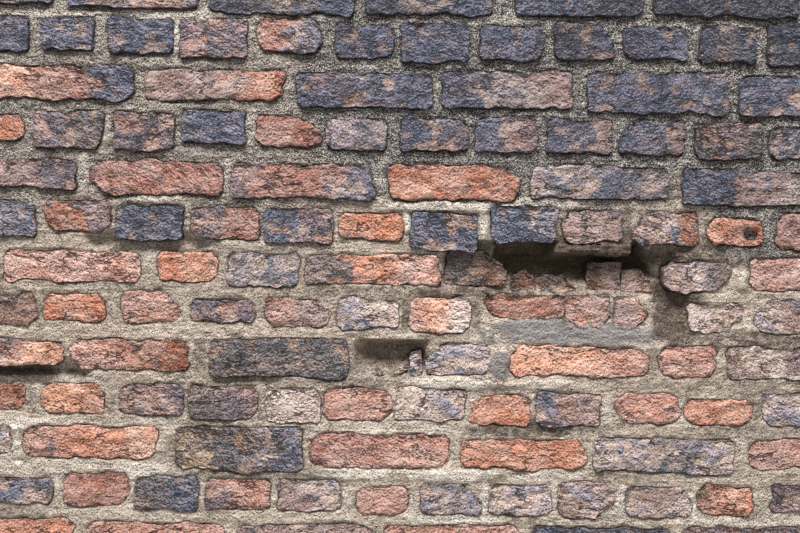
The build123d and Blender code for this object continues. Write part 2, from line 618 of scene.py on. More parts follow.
def wear_brick(layers_of, verts, low, high, looks, back, cut, seed):
    """Rounds, flakes, chips and sets back one brick that fills the box from low to high."""
    chance = random.Random(seed + 0.5)
    lean = Vector((chance.uniform(-1, 1), chance.uniform(-1, 1), 0)) * 2.5 * mm
    tone = chance.uniform(0.9, 1.1)
    lift = chance.uniform(0, 50)
    slant = chance.uniform(-0.35, 0.35)
    layered = chance.random()
    edges = edges_of(seed)
    chips = chips_of(looks, cut, seed)
    middle = (low + high) / 2
    size = high - low
    for vert in verts:
        place = vert.co.copy()
        share_x = (place.x - low.x) / size.x
        share_z = (place.z - low.z) / size.z
        across = share_x + slant * (share_z - 0.5) + 0.25 * bumps(place, 0.034, lift)
        finish = share_of_finishes(looks, across + 0.12 * bumps(place, 0.012, lift + 1))
        # Where the skin is left
        patchy = bumps(place, 0.03, lift) + 0.5 * bumps(place, 0.013, lift)
        patchy += 0.4 * layers(place, 0.05, 0.011, lift)
        skin = 0.5 + 1.6 * (patchy + (finish["cover"] - 0.5) * 1.7)
        skin = min(max(skin, 0), 1)
        flaked = 1 - ease(skin, 0.3, 0.7)
        # How deep the surface lies, in millimetres
        rough = finish["rough"]
        lumps = 4.0 * bumps(place, 0.034, lift + 5) + 2.0 * bumps(place, 0.014, lift)
        broken = 5.0 * ledges(layers(place, 0.045, 0.02, lift + 2), 3)
        grains = 1.3 * bumps(place, 0.0068, lift) + 1.1 * layers(place, 0.02, 0.006, lift)
        pits = ease(bumps(place, 0.009, lift + 9), 0.3, 0.6)
        relief = (lumps + grains) * rough * (0.55 + 0.45 * flaked)
        relief += broken * (0.25 + 0.75 * flaked)
        relief += 2.6 * pits * (0.4 + 0.6 * flaked)
        depth = 3.0 + 2.0 * bumps(place, 0.06, lift) + relief + 2.6 * flaked * rough
        depth = deepest_wear * math.tanh(max(depth, 0) / deepest_wear) * mm
        # Round the arrises
        arris = 0.55 * finish["arris"] * rounding(cut)
        arris = arris * (1 + 0.5 * bumps(place, 0.02, lift + 3)) * mm
        arris = min(arris, 0.45 * min(size))
        inner = Vector(
            min(max(place[axis], low[axis] + arris), high[axis] - arris) for axis in range(3)
        )
        outward = (place - inner).normalized()
        sunk = Vector((0.25, 1, 0.25)) * depth
        moved = inner + outward * arris - outward * sunk
        # Knock off the corners of the face
        for corner, (side, top) in enumerate(((-1, 1), (1, 1), (1, -1), (-1, -1))):
            from_side = (high.x - place.x) if side > 0 else (place.x - low.x)
            from_top = (high.z - place.z) if top > 0 else (place.z - low.z)
            missing = chips[corner] * (1 + 0.4 * bumps(place, 0.012, lift)) - from_side - from_top
            if missing > 0:
                moved.x -= side * missing * 0.5
                moved.z -= top * missing * 0.5
        # Where a stone burnt out of the clay it left a hole
        hole = 0.0
        if "o" in cut:
            aside, below = high.x - hole_from_end - place.x, middle.z - hole_below_middle - place.z
            ragged = 2 * mm * bumps(place, 0.01, lift)
            hole = 1 - ease(math.hypot(aside, below) + ragged, 7 * mm, 13 * mm)
            moved.y += hole_depth * hole
        # Nothing was laid quite straight, and each edge wanders in its own way
        left, right = (edges[side](place.z, share_z) for side in ("left", "right"))
        bottom, top = (edges[side](place.x, share_x) for side in ("bottom", "top"))
        moved.x += left + (right - left) * share_x
        moved.z += bottom + (top - bottom) * share_z
        turned = (place.x - middle.x) / size.x * lean.x + (place.z - middle.z) / size.z * lean.y
        moved.y += back * mm + abs(turned)
        vert.co = moved
        # Burnt clay round the rim, painted shade on the sides behind the face and in the hole, a
        # darker t top
        inside = min(place.x - low.x, high.x - place.x, place.z - low.z, high.z - place.z)
        rim = 1 - ease(inside + 3 * mm * bumps(place, 0.015, lift), 0, 12 * mm)
        at_outside = wall_high.x - abs(place.x) < 8 * mm or wall_high.z - place.z < 8 * mm
        behind_face = 0.0 if at_outside else ease(place.y - low.y, 5 * mm, 11 * mm)
        darkened_top = 0.0
        if "t" in cut:
            darkened_top = 0.75 * ease(share_z + 0.5 * bumps(place, 0.02, lift + 6), 0.35, 0.8)
        vert[layers_of["clay"]] = (*(channel * tone for channel in finish["clay"]), 1)
        vert[layers_of["skin"]] = (*(channel * tone for channel in finish["skin"]), 1)
        vert[layers_of["cover"]] = skin
        vert[layers_of["relief"]] = min(max(0.6 - 0.1 * relief, 0), 1)
        vert[layers_of["rim"]] = rim
        vert[layers_of["crevice"]] = max(behind_face, darkened_top, hole)
        vert[layers_of["deep"]] = ease(back, 16, 50)
        vert[layers_of["layered"]] = layered


print("wear goes up to", deepest_wear, "mm deep")

# %% [markdown]
# A piece of the model is one mesh.  This helper turns a finished `bmesh` into an object that rides
# with the wall, stands for its CAD node and takes its material.

# %% From bmesh to a piece of the wall
def make_piece(bm, name, material, node):
    """Writes the mesh, gives it its material and ties it to the frame."""
    bmesh.ops.recalc_face_normals(bm, faces=bm.faces)
    for face in bm.faces:
        face.smooth = len(face.verts) <= 4
        for edge in face.edges if not face.smooth else []:
            edge.smooth = False
    mesh = bpy.data.meshes.new(name)
    bm.to_mesh(mesh)
    bm.free()
    mesh.materials.append(material)
    piece = bpy.data.objects.new(name, mesh)
    bpy.context.collection.objects.link(piece)
    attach(piece, "root")
    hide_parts(node)
    return piece


brick_material = bpy.data.materials.new("weathered_brick")
mortar_material = bpy.data.materials.new("lime_mortar")

# %% [markdown]
# ## The other faces
#
# The back and the two ends repeat the bond that the front has: headers over stretchers, three
# bricks through.  A brick is always made facing the front, then `bmesh.ops.transform` turns it
# round the wall's upright axis.  That keeps one set of rules for the wear.  Bricks at the corners
# show a side as well, so their rings go all the way back.  Nobody has set these faces out by eye,
# so chance picks their finishes, from a fixed seed for each brick.

# %% Where the bricks of the other faces lie
fine_grain = 3.6 * mm
coarse_grain = 8.6 * mm
FRONT_TURN, BACK_TURN, RIGHT_TURN, LEFT_TURN = (
    Matrix.Rotation(math.radians(angle), 4, "Z") for angle in (0, 180, 90, -90)
)
HIDDEN_LOOKS = ["slate", "plum", "orange", "brown", "red", "slate plum", "pink", "salmon"]
HIDDEN_LOOKS += ["plum orange", "grey"]


def plain_row(course):
    """Left and right of the bricks of one course without drift, in metres."""
    half = wall_high.x
    if course % 2 == 1:
        joints = [number * (header + joint) for number in range(-5, 6)]
    else:
        shift = (header + joint) / 2 * (1 if course % 4 == 0 else -1)
        joints = [shift + number * (stretcher + joint) for number in range(-4, 5)]
    joints = [x for x in joints if abs(x) < half - shortest_bat]
    starts = [-half] + [x + joint / 2 for x in joints]
    stops = [x - joint / 2 for x in joints] + [half]
    return list(zip(starts, stops))


def rows_through(course):
    """Front and back of the bricks one behind the other in a course, in metres."""
    half = wall_high.y
    depths = [stretcher] * 3 if course % 2 == 1 else [header, stretcher, stretcher, header]
    rows, start = [], -half
    for depth in depths:
        rows.append((start, start + depth))
        start += depth + joint
    return rows


print("course 15 has", len(plain_row(15)), "bricks along and", len(rows_through(15)), "through")

# %% [markdown]
# Each brick is shaped in a `bmesh` of its own and then joined to its course, so a course stays one
# object however many bricks it has.  The front gets a fine grid and the hidden faces a coarse one,
# because that is where the triangles are seen.

# %% Lay one brick
face_rings = [2.5 * mm, 6 * mm, 11 * mm, 18 * mm]
side_ring_pitch = 13
first_side_ring = 18 + side_ring_pitch
last_side_gap = 8


def lay_brick(course_mesh, turn, low, high, looks, back, cut, seed, grain, sides):
    """One worn brick, made facing the front and then turned to its own face."""
    bm = bmesh.new()
    layers_of = stored_layers(bm)
    size = high - low
    rings = list(face_rings)
    if sides:
        stop = round(size.y / mm) - last_side_gap
        rings += [depth * mm for depth in range(first_side_ring, stop, side_ring_pitch)]
    brick_blank(bm, size.x, size.z, grain, rings + [size.y])
    corner = Vector((low.x + size.x / 2, low.y, low.z + size.z / 2))
    bmesh.ops.translate(bm, verts=bm.verts, vec=corner)
    wear_brick(layers_of, bm.verts, low, high, looks, back, cut, seed)
    bmesh.ops.transform(bm, matrix=turn, verts=bm.verts)
    for vert in bm.verts:
        vert.co = [min(max(vert.co[axis], wall_low[axis]), wall_high[axis]) for axis in range(3)]
    brick = bpy.data.meshes.new("brick")
    bm.to_mesh(brick)
    bm.free()
    course_mesh.from_mesh(brick)
    bpy.data.meshes.remove(brick)


print("every brick has", len(face_rings), "rings close behind its face")

# %% Lay all courses, one piece for each
outside_photo_grain = 6 * mm
brick_faces = 0
for course, row in FRONT.items():
    bm = bmesh.new()
    bottom, top = span(course_node(course))
    through = rows_through(course)
    is_top = course == COURSES
    # The front, as it was set out
    for number, brick in enumerate(row):
        left, right, raised, lifted, looks, *rest = brick
        back = rest[0] if rest else 0
        cut = rest[1] if len(rest) > 1 else ""
        at_end = number in (0, len(row) - 1)
        low = Vector((left * mm, through[0][0], bottom + raised * mm))
        high = Vector((right * mm, through[0][1], top + lifted * mm))
        seed = 100 * course + number
        grain = fine_grain if 2 < course < COURSES else outside_photo_grain
        lay_brick(bm, FRONT_TURN, low, high, looks, back, cut, seed, grain, at_end or is_top)
    # The back, in the plain bond
    for number, (left, right) in enumerate(plain_row(course)):
        at_end = number in (0, len(plain_row(course)) - 1)
        seed = 100 * course + 40 + number
        chance = random.Random(seed)
        looks = chance.choice(HIDDEN_LOOKS)
        low = Vector((left, through[0][0], bottom + chance.uniform(-2, 3) * mm))
        high = Vector((right, through[0][1], top + chance.uniform(-4, 1) * mm))
        lay_brick(bm, BACK_TURN, low, high, looks, 2, "", seed, coarse_grain, at_end or is_top)
    # The bricks between front and back, where they show at the ends or on top
    for number, (front, back) in enumerate(through[1:-1]):
        if is_top:
            for place, (left, right) in enumerate(plain_row(course)):
                seed = 100 * course + 60 + place
                looks = random.Random(seed).choice(HIDDEN_LOOKS)
                low, high = Vector((left, front, bottom)), Vector((right, back, top))
                lay_brick(bm, FRONT_TURN, low, high, looks, 0, "", seed, coarse_grain, True)
            continue
        for turn, shift in ((RIGHT_TURN, 70), (LEFT_TURN, 80)):
            seed = 100 * course + shift + number
            looks = random.Random(seed).choice(HIDDEN_LOOKS)
            low = Vector((front, wall_low.x, bottom))
            high = Vector((back, wall_low.x + header, top))
            lay_brick(bm, turn, low, high, looks, 2, "", seed, coarse_grain, False)
    brick_faces += len(bm.faces)
    make_piece(bm, f"bricks_{course:02d}", brick_material, course_node(course))
print("bricks have", brick_faces, "faces")

# %% [markdown]
# ## Mortar
#
# The beds and upright joints are one material washed back by rain.  Each lift of mortar is a slab
# right through the wall: a plan whose edges are split finely, extruded upward row by row.  Each
# vertex is then pushed in from the face it belongs to.  Next to a brick the mortar has shrunk away
# and left a narrow groove, where a dark line of painted shade is drawn round every brick.  To know
# where that is, the mortar asks for the same wandering edges and chipped corners that the bricks
# were given.

# %% Outlines of the front bricks, for the groove
OUTLINES = {}
for course, row in FRONT.items():
    bottom, top = span(course_node(course))
    OUTLINES[course] = [
        (
            (left * mm, right * mm, bottom + raised * mm, top + lifted * mm),
            edges_of(100 * course + number),
            chips_of(looks, rest[1] if len(rest) > 1 else "", 100 * course + number),
        )
        for number, (left, right, raised, lifted, looks, *rest) in enumerate(row)
    ]
near = 16 * mm


def beside_brick(x, z, courses):
    """How far a place on the front lies outside the nearest brick, in metres."""
    nearest = 1.0
    for course in courses:
        for (left, right, bottom, top), edges, chips in OUTLINES.get(course, []):
            if not (left - near < x < right + near and bottom - near < z < top + near):
                continue
            share_x = (x - left) / (right - left)
            share_z = (z - bottom) / (top - bottom)
            from_left = left + edges["left"](z, share_z) - x
            from_right = x - right - edges["right"](z, share_z)
            from_bottom = bottom + edges["bottom"](x, share_x) - z
            from_top = z - top - edges["top"](x, share_x)
            from_chips = [
                (chips[0] + from_left + from_top) / 1.4,
                (chips[1] + from_right + from_top) / 1.4,
                (chips[2] + from_right + from_bottom) / 1.4,
                (chips[3] + from_left + from_bottom) / 1.4,
            ]
            nearest = min(nearest, max(from_left, from_right, from_bottom, from_top, *from_chips))
    return nearest


print("middle of a joint is", round(beside_brick(-0.605, 0.948, [13]) / mm, 1), "mm from a brick")

# %% [markdown]
# Mortar is never one colour either.  Fresh lime ran out of some beds and stayed white, smooth grey
# mortar was smeared below the hollow, damp and dirt keep other places dark, and painted shadow
# darkens the mortar under some bricks and round the hollow.  Each is an oval patch with a ragged
# edge, in
# millimetres: the middle along and up the wall, half the width and half the height, and then what
# it does there.

# %% Patches of the mortar
# How far each stands proud, and how white it is; below 0 it is smooth and grey
PATCHES = [
    # Fresh lime along the beds, from the top down
    (-410, 909, 80, 10, 2, 0.35),
    (100, 984, 190, 10, 1, 0.5),
    (-372, 946, 9, 34, 6, 0.9),
    (-400, 984, 300, 10, 2, 0.6),
    (-485, 796, 9, 32, 4, 0.6),
    (-250, 796, 9, 32, 3, 0.5),
    (-410, 834, 80, 10, 2, 0.5),
    (-524, 721, 12, 34, 4, 0.9),
    (-287, 721, 12, 34, 2, 0.7),
    (-36, 721, 10, 34, 2, 0.4),
    (-410, 684, 80, 10, 2, 0.8),
    (90, 675, 120, 9, 5, 0.75),
    (250, 684, 84, 11, 3, 0.6),
    (10, 655, 9, 26, 4, 0.9),
    (138, 652, 9, 28, 4, 0.65),
    (-246, 609, 80, 10, 2, 0.3),
    (86, 384, 84, 12, 4, 1.0),
    (-246, 309, 80, 12, 1, 0.5),
    (235, 384, 60, 9, 4, 0.4),
    (-656, 309, 90, 14, 2, 1.0),
    (82, 309, 80, 11, 1, 0.45),
    (-410, 309, 80, 12, 1, 0.4),
    (-628, 271, 12, 30, 2, 0.5),
    (-656, 234, 90, 12, 1, 0.35),
    (-410, 234, 90, 12, 2, 0.8),
    (-82, 234, 80, 12, 2, 0.85),
    (96, 234, 90, 12, 3, 1.0),
    (250, 234, 80, 12, 1, 0.5),
    (-160, 159, 120, 12, 1, 0.3),
    (90, 159, 90, 14, 2, 0.9),
    (560, 159, 130, 12, 1, 0.6),
    # Lime in the upright joints of the lower courses
    (-549, 421, 9, 26, 1, 0.4),
    (-8, 346, 10, 28, 1, 0.5),
    (223, 346, 9, 28, 1, 0.4),
    (344, 346, 12, 30, 1, 0.5),
    (467, 346, 12, 30, 1, 0.4),
    (-80, 196, 13, 30, 1, 0.5),
    (-438, 196, 10, 28, 1, 0.4),
    (28, 196, 12, 28, 1, 0.4),
    (146, 196, 12, 30, 1, 0.9),
    (261, 196, 10, 28, 1, 0.4),
    (371, 196, 13, 30, 1, 0.8),
    (490, 196, 12, 30, 1, 0.7),
    # The lip in the hollow's mouth, and the smooth grey mortar smeared below it
    (318, 608, 76, 16, 4, 0),
    (164, 415, 20, 30, 9, -0.7),
    (286, 474, 156, 25, 3, -0.95),
    (564, 575, 14, 30, 7, 0.4),
    (462, 500, 12, 24, 4, 0.4),
]

# %% Stains and painted shadows of the mortar
# How dark each is: damp and dirt, and painted shadow under some bricks and round the hollow
STAINS_AND_SHADOWS = [
    # Round the hollow, and the lip of hard mortar that hangs in it: dirt and painted shade
    (150, 545, 190, 30, 0.5),
    (456, 520, 44, 95, 1.1),
    (430, 602, 34, 26, 1.0),
    (318, 604, 110, 44, 1.5),
    (290, 538, 150, 9, 0.5),
    (374, 648, 9, 34, 0.8),
    # Course by course, from the top down
    (600, 946, 60, 60, 0.5),
    (-85, 909, 90, 12, 0.45),
    (-656, 834, 90, 14, 0.8),
    (574, 834, 90, 14, 0.6),
    (-560, 800, 330, 190, 0.3),
    (560, 759, 160, 14, 0.3),
    (-246, 759, 80, 12, 0.4),
    (450, 721, 9, 34, 0.4),
    (-656, 609, 90, 12, 0.3),
    (82, 609, 80, 12, 0.35),
    (560, 606, 230, 30, 0.9),
    (608, 646, 9, 34, 0.5),
    (-380, 545, 400, 60, 0.35),
    (-690, 530, 90, 40, 0.4),
    (-656, 534, 90, 12, 0.3),
    (-82, 534, 90, 12, 0.6),
    (82, 534, 80, 12, 0.95),
    (-415, 571, 9, 30, 0.3),
    (-594, 496, 9, 32, 0.6),
    (126, 496, 10, 32, 0.6),
    (272, 500, 8, 28, 0.6),
    (82, 459, 80, 14, 0.35),
    (10, 530, 110, 14, 0.5),
    (10, 496, 9, 34, 0.9),
    (610, 462, 130, 20, 0.75),
    # Painted shadow under the worn bed below course 6
    (-650, 390, 110, 24, 1.2),
    (-492, 384, 80, 12, 0.3),
    (-82, 384, 80, 12, 0.7),
    (410, 384, 80, 12, 0.25),
    (418, 421, 9, 30, 0.5),
    (-603, 346, 9, 32, 0.45),
    (-472, 346, 9, 32, 0.4),
    (-226, 346, 9, 32, 0.6),
    (592, 346, 9, 32, 0.45),
    # Painted shadow in the upright joint beside the brown brick of course 6
    (-328, 421, 15, 40, 0.7),
    (-60, 408, 130, 40, 0.45),
    (-11, 434, 62, 26, 0.5),
    (-300, 345, 200, 60, 0.4),
    (-345, 270, 50, 60, 0.5),
    (620, 392, 160, 24, 0.5),
    # Painted shadow under the bricks of course 5
    (215, 312, 130, 16, 0.95),
    (590, 310, 120, 18, 0.4),
    (-225, 232, 130, 22, 0.6),
    (-656, 159, 90, 12, 0.6),
    (410, 240, 110, 20, 0.35),
]


def in_patch(x, z, middle_x, middle_z, half_width, half_height):
    """1 in the middle of a patch of mortar, falling to 0 round its edge."""
    along = (x - middle_x * mm) / (half_width * mm)
    up = (z - middle_z * mm) / (half_height * mm)
    broad = noise.noise(Vector((x / 0.03, 3.3, z / 0.016)))
    small = noise.noise(Vector((x / 0.01, 1.3, z / 0.01)))
    ragged = 0.35 * broad + 0.2 * small
    return 1 - ease(math.hypot(along, up) + ragged, 0.6, 1.2)


print(len(PATCHES), "patches and", len(STAINS_AND_SHADOWS), "stains")

# %% [markdown]
# One function weathers every vertex of the mortar, whichever slab it belongs to.  It moves the
# vertex in from its face, and stores what the material needs: how white the lime is, how low the
# spot lies, how far it is from the nearest brick, how deep in the hollow it is, and how dark its
# stains and painted shadows make it.

# %% Weathering the mortar
MORTAR_LAYERS = ("lime", "relief", "gap", "deep", "shade")
corner_round = 12 * mm
mean_recess = 10.5
least_recess = 2
widest_gap = 12


def low_spots(relief):
    """The relief of the mortar as a number from 0, low, to 1, high."""
    return min(max(0.55 - 0.12 * relief, 0), 1)


def push_in(vert, layers_of, courses, gaps):
    """Moves one vertex of mortar in from the face of the wall, and stores what it found."""
    place = vert.co.copy()
    inner = Vector((
        min(max(place.x, wall_low.x + corner_round), wall_high.x - corner_round),
        min(max(place.y, wall_low.y + corner_round), wall_high.y - corner_round),
        place.z,
    ))
    outward = (place - inner).normalized()
    relief = 2.2 * bumps(place, 0.06, 11) + 2.0 * bumps(place, 0.022, 12)
    relief += 1.4 * bumps(place, 0.01, 13)
    relief += 1.6 * layers(place, 0.05, 0.008, 14)
    proud, lime, deep, shade, gap = 0.0, 0.0, 0.0, 0.0, 1.0
    if outward.y < -0.5:
        for *patch, out, white in PATCHES:
            share = in_patch(place.x, place.z, *patch)
            proud += share * out
            lime += share * white
        deep = wear(place.x, place.z)
        # High up on the right the upright joints are darker than the beds
        if gaps:
            shade = 0.55 * ease(place.z, 0.64, 0.7) * ease(place.x, -0.2, -0.05)
        torn = 5 * bumps(place, 0.014, 17) + 4 * layers(place, 0.04, 0.007, 18)
        relief += lip_at(place.x, place.z) * torn
        for *stain, dark in STAINS_AND_SHADOWS:
            shade = max(shade, dark * in_patch(place.x, place.z, *stain))
        gap = beside_brick(place.x, place.z, courses)
    groove = (1 - ease(abs(gap), 0.4 * mm, 3.0 * mm)) * ease(bumps(place, 0.04, 16), -0.3, 0.3)
    hidden = ease(-gap, -1 * mm, 4 * mm)
    depth = max(mean_recess + relief - proud, least_recess) * mm + deep
    depth += (2.5 * groove + 5 * hidden) * mm
    vert.co = inner + outward * (corner_round - depth)
    vert[layers_of["lime"]] = min(max(lime, -1), 1)
    vert[layers_of["relief"]] = low_spots(relief)
    vert[layers_of["gap"]] = min(gap / mm, widest_gap)
    vert[layers_of["shade"]] = shade
    vert[layers_of["deep"]] = ease(deep, 14 * mm, 60 * mm)


print("the mortar lies", mean_recess, "mm behind the bricks on average")

# %% [markdown]
# Between two beds the mortar shows only at the upright joints.  A lift is therefore fine there and
# coarse behind the bricks, where two in three of its corners are dissolved before it is extruded.

# %% Slabs of mortar
front_step = 3.6 * mm
other_step = 10 * mm
on_face = 0.1 * mm
hidden_from = 26 * mm


def behind_bricks(vert, gaps):
    """True where a brick hides the mortar: away from every upright joint of its face."""
    along, places = vert.co.y, gaps["through"]
    if abs(vert.co.y) > wall_high.y - on_face:
        along, places = vert.co.x, gaps["along"]
    if vert.co.y < wall_low.y + on_face:
        places = gaps["front"]
    return all(abs(along - place) > hidden_from for place in places)


def gaps_in(course):
    """The upright joints of a course and its corners, on the front, the back and the ends."""
    front = [brick[0] * mm - joint / 2 for brick in FRONT[course]] + [wall_high.x]
    along = [left - joint / 2 for left, right in plain_row(course)] + [wall_high.x]
    through = [start - joint / 2 for start, stop in rows_through(course)] + [wall_high.y]
    return {"front": front, "along": along + [-place for place in along], "through": through}


def lift_of_mortar(bottom, top, step, courses, gaps=None):
    """A closed slab of mortar right through the wall, from bottom to top."""
    bm = bmesh.new()
    layers_of = {name: bm.verts.layers.float.new(name) for name in MORTAR_LAYERS}
    size = wall_high - wall_low
    plan = Matrix.Translation((0, 0, bottom)) @ Matrix.Diagonal((size.x, size.y, 1, 1))
    bmesh.ops.create_grid(bm, x_segments=1, y_segments=1, size=0.5, matrix=plan)
    for edge in list(bm.edges):
        along = (edge.verts[0].co + edge.verts[1].co) / 2
        pitch = front_step if along.y < wall_low.y + on_face else other_step
        bmesh.ops.bisect_edges(bm, edges=[edge], cuts=round(edge.calc_length() / pitch) - 1)
    if gaps:
        hidden = [vert for vert in bm.verts if behind_bricks(vert, gaps)]
        spare = [vert for number, vert in enumerate(hidden) if number % 3]
        bmesh.ops.dissolve_verts(bm, verts=spare)
    rows = max(1, round((top - bottom) / step))
    face = bm.faces[:][0]
    for row in range(1, rows + 1):
        made = bmesh.ops.extrude_face_region(bm, geom=[face])["geom"]
        for vert in [item for item in made if isinstance(item, bmesh.types.BMVert)]:
            vert.co.z = bottom + (top - bottom) * row / rows
        face = [item for item in made if isinstance(item, bmesh.types.BMFace)][0]
    for vert in bm.verts:
        push_in(vert, layers_of, courses, gaps)
    return bm


print("the corners of a lift are", round(front_step / mm, 1), "mm apart on the front")

# %% The top of the wall, and all lifts
bed_step = 3.6 * mm
joint_step = 4.75 * mm
top_drop = 14 * mm
coat_inset, coat_grain, coat_thickness, coat_drop = 16 * mm, 12 * mm, 8 * mm, 9


def add_top_coat(bm):
    """The weathered mortar between the bricks on top of the wall."""
    layers_of = {name: bm.verts.layers.float[name] for name in MORTAR_LAYERS}
    length, width = (wall_high[axis] - wall_low[axis] - 2 * coat_inset for axis in (0, 1))
    verts = brick_blank(bm, length, width, coat_grain, [coat_thickness])
    lay_flat = Matrix.Translation((0, 0, wall_high.z)) @ Matrix.Rotation(math.radians(-90), 4, "X")
    bmesh.ops.transform(bm, matrix=lay_flat, verts=verts)
    for vert in verts:
        relief = 2.2 * bumps(vert.co, 0.06, 21) + 2.0 * bumps(vert.co, 0.025, 22)
        vert.co.z -= (coat_drop + relief) * mm
        vert[layers_of["gap"]] = widest_gap
        vert[layers_of["relief"]] = low_spots(relief)


mortar_faces = 0
for course in range(1, COURSES + 1):
    bed = lift_of_mortar(*span(bed_node(course)), bed_step, [course - 1, course])
    make_piece(bed, f"bed_{course:02d}", mortar_material, bed_node(course))
    node = course_node(course)
    bottom, top = span(node)
    if course == COURSES:
        top -= top_drop
    filling = lift_of_mortar(bottom, top, joint_step, [course], gaps_in(course))
    if course == COURSES:
        add_top_coat(filling)
    joints = make_piece(filling, f"joints_{course:02d}", mortar_material, node)
    mortar_faces += len(joints.data.polygons)
print("mortar in the courses has", mortar_faces, "faces")

# %% [markdown]
# ## Materials
#
# Both materials are built from nodes that read the place on the wall and the numbers that the wear
# left on each vertex.  A few short helpers keep the node code readable: `put` adds a node and fills
# its sockets, `blend` mixes two colours, `stretch` spreads a range of values, `sums`, `times` and
# `less` are arithmetic, and `noise_at` is a noise with a true size.

# %% Helpers for nodes
def empty_tree(material):
    """Clears a material's nodes and returns its tree with a Principled shader in it."""
    material.use_nodes = True
    tree = material.node_tree
    tree.nodes.clear()
    shader = tree.nodes.new("ShaderNodeBsdfPrincipled")
    output = tree.nodes.new("ShaderNodeOutputMaterial")
    tree.links.new(shader.outputs["BSDF"], output.inputs["Surface"])
    return tree, shader


def put(tree, kind, sockets=None, **settings):
    """Adds a node; sockets maps an input to a value or to another node's output."""
    node = tree.nodes.new(kind)
    for name, value in settings.items():
        setattr(node, name, value)
    for name, value in (sockets or {}).items():
        if isinstance(value, bpy.types.NodeSocket):
            tree.links.new(value, node.inputs[name])
        else:
            node.inputs[name].default_value = value
    return node


def blend(tree, share, one, two, how="MIX"):
    """Mixes two colours, each a socket or a linear colour."""
    one, two = ((*item, 1) if isinstance(item, tuple) else item for item in (one, two))
    sockets = {0: share, 6: one, 7: two}
    return put(tree, "ShaderNodeMix", sockets, data_type="RGBA", blend_type=how).outputs[2]


def tinted(tree, colour, tint):
    """A colour multiplied by another."""
    return blend(tree, 1.0, colour, tint, "MULTIPLY")


def stretch(tree, value, low, high, to_low=0.0, to_high=1.0):
    """Maps low..high to to_low..to_high smoothly, and holds it there outside."""
    sockets = {"Value": value, "From Min": low, "From Max": high}
    sockets |= {"To Min": to_low, "To Max": to_high}
    return put(tree, "ShaderNodeMapRange", sockets, interpolation_type="SMOOTHSTEP").outputs[0]


def sums(tree, operation, one, two):
    """One step of arithmetic on two values."""
    return put(tree, "ShaderNodeMath", {0: one, 1: two}, operation=operation).outputs[0]


def times(tree, one, two):
    """One value times another."""
    return sums(tree, "MULTIPLY", one, two)


def less(tree, one, two):
    """One value less another."""
    return sums(tree, "SUBTRACT", one, two)


def noise_at(tree, vector, per_metre, detail=2.0, rough=0.55):
    """A noise whose marks are about one over per_metre wide."""
    sockets = {"Vector": vector, "Scale": per_metre, "Detail": detail, "Roughness": rough}
    return put(tree, "ShaderNodeTexNoise", sockets).outputs[0]


print("node helpers are ready")

# %% [markdown]
# Sand shows in both materials: as coarse grit in the mortar, and as the stones and burnt-out pits
# in the clay.  It is a node group, built once: cells of a Voronoi texture are the grains, and each
# cell's random colour decides how pale its grain is and how far it stands out.

# %% Node group: grit
def new_group(name, inputs, outputs):
    """A shader node group with named sockets, and its input and output nodes."""
    group = bpy.data.node_groups.new(name, "ShaderNodeTree")
    for label, kind, value in inputs:
        socket = group.interface.new_socket(label, in_out="INPUT", socket_type=kind)
        if value is not None:
            socket.default_value = value
    for label, kind in outputs:
        group.interface.new_socket(label, in_out="OUTPUT", socket_type=kind)
    return group, group.nodes.new("NodeGroupInput"), group.nodes.new("NodeGroupOutput")


def use(tree, group, sockets):
    """Places a node group in a material and fills its sockets."""
    return put(tree, "ShaderNodeGroup", sockets, node_tree=group)


grit, grit_in, grit_out = new_group(
    "grit",
    [("Vector", "NodeSocketVector", None), ("Grains per metre", "NodeSocketFloat", 300.0)],
    [("Tone", "NodeSocketFloat"), ("Height", "NodeSocketFloat")],
)
cells = put(
    grit,
    "ShaderNodeTexVoronoi",
    {"Vector": grit_in.outputs["Vector"], "Scale": grit_in.outputs["Grains per metre"]},
)
chance_of_grain = put(grit, "ShaderNodeSeparateColor", {0: cells.outputs["Color"]})
round_grain = stretch(grit, cells.outputs["Distance"], 0.75, 0.2)
tone = times(grit, chance_of_grain.outputs[0], round_grain)
height = times(grit, chance_of_grain.outputs[1], round_grain)
grit.links.new(tone, grit_out.inputs["Tone"])
grit.links.new(height, grit_out.inputs["Height"])
print("group", grit.name, "has", len(grit.nodes), "nodes")

# %% [markdown]
# Soot and grime came down on the upper part of the wall and grow toward the right, and the back is
# cleaner than the front.  Lower down the rain has washed the wall clean.  That is one mask over the
# whole wall, read from the place, so bricks and mortar darken together.

# %% Node group: grime
grime, grime_in, grime_out = new_group(
    "grime", [("Vector", "NodeSocketVector", None)], [("Soot", "NodeSocketFloat")]
)
axes = put(grime, "ShaderNodeSeparateXYZ", {0: grime_in.outputs["Vector"]})
wander = noise_at(grime, grime_in.outputs["Vector"], 6, 4, 0.6)
wander = times(grime, less(grime, wander, 0.5), 0.5)
sideways = sums(grime, "ADD", axes.outputs["X"], wander)
less_wander = sums(grime, "ADD", axes.outputs["X"], times(grime, wander, 0.4))
from_left = stretch(grime, less_wander, -0.22, -0.1)
at_right_end = stretch(grime, sideways, 0.36, 0.6)
lowered = less(grime, times(grime, at_right_end, 0.09), times(grime, from_left, 0.045))
upward = sums(grime, "ADD", axes.outputs["Z"], times(grime, wander, 0.5))
upward = stretch(grime, sums(grime, "ADD", upward, lowered), 0.61, 0.71)
heaviness = stretch(grime, from_left, 0.0, 1.0, 0.5, 1.0)
soot = times(grime, upward, heaviness)
soot = times(grime, soot, stretch(grime, axes.outputs["Y"], -0.34, 0.2, 1.0, 0.3))
grime.links.new(soot, grime_out.inputs["Soot"])
print("group", grime.name, "has", len(grime.nodes), "nodes")

# %% [markdown]
# Light from above is painted into the colour of a rough face: upward slopes lighter, undersides in
# painted shade.  This group makes one broken surface from a noise, and reads the same noise a
# little higher and a little lower.  The difference says which way the slope faces, so painted shade
# lies under each ledge.

